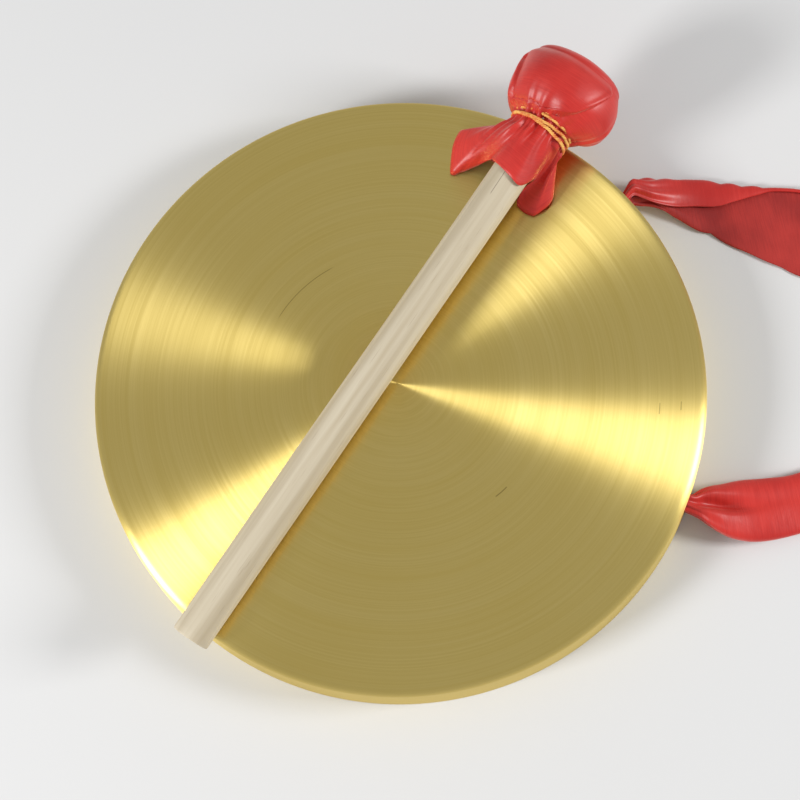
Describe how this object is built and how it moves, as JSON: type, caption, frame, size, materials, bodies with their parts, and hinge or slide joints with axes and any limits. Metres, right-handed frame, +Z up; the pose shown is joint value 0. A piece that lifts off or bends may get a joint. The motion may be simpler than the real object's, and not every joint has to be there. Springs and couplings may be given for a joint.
{
  "type": "hand gong with mallet",
  "caption": "Flat-faced brass hand gong lying face up, with a satin sash knotted into a hand loop through its rim and a wooden mallet with a satin-covered head resting on the face.",
  "frame": {"origin": "on the gong's axis, in the plane of the rim's open edge that it rests on", "axes": "+Z up out of the struck face; +X towards the sash's side of the rim; +Y across, towards the mallet's head"},
  "size_m": [0.5554, 0.3136, 0.0749],
  "materials": {
    "brass": "lathe-brushed, fine concentric scratches",
    "red_satin": "thin satin with a soft sheen",
    "cover_satin": "thin satin, gathered and frayed at the cut edge",
    "pale_wood": "bare sanded dowel",
    "cotton": "undyed cotton",
    "elastic": "twisted thin elastic"
  },
  "bodies": {
    "gong": {"gong_plate": "brass", "sash_inner_span": "red_satin"},
    "sash_loop": {"sash_upper_strand": "red_satin", "sash_lower_strand": "red_satin", "sash_knot": "red_satin", "sash_tail_upper": "red_satin", "sash_tail_lower": "red_satin"},
    "mallet": {"mallet_stick": "pale_wood", "head_core": "cotton", "head_wadding": "cotton", "satin_cover": "cover_satin", "elastic_band_1": "elastic", "elastic_band_2": "elastic", "elastic_band_3": "elastic", "elastic_band_4": "elastic"}
  },
  "joints": [
    {"name": "sash_swing", "type": "hinge", "parent": "gong", "child": "sash_loop", "pos_m": [0.1218, 0.1022, 0.014], "axis": [0.153, -0.9882, 0], "range_deg": [0, 90]},
    {"name": "mallet_lift", "type": "slide", "parent": "gong", "child": "mallet", "axis": [0, 0, 1], "range_m": [0, 0.15]}
  ]
}
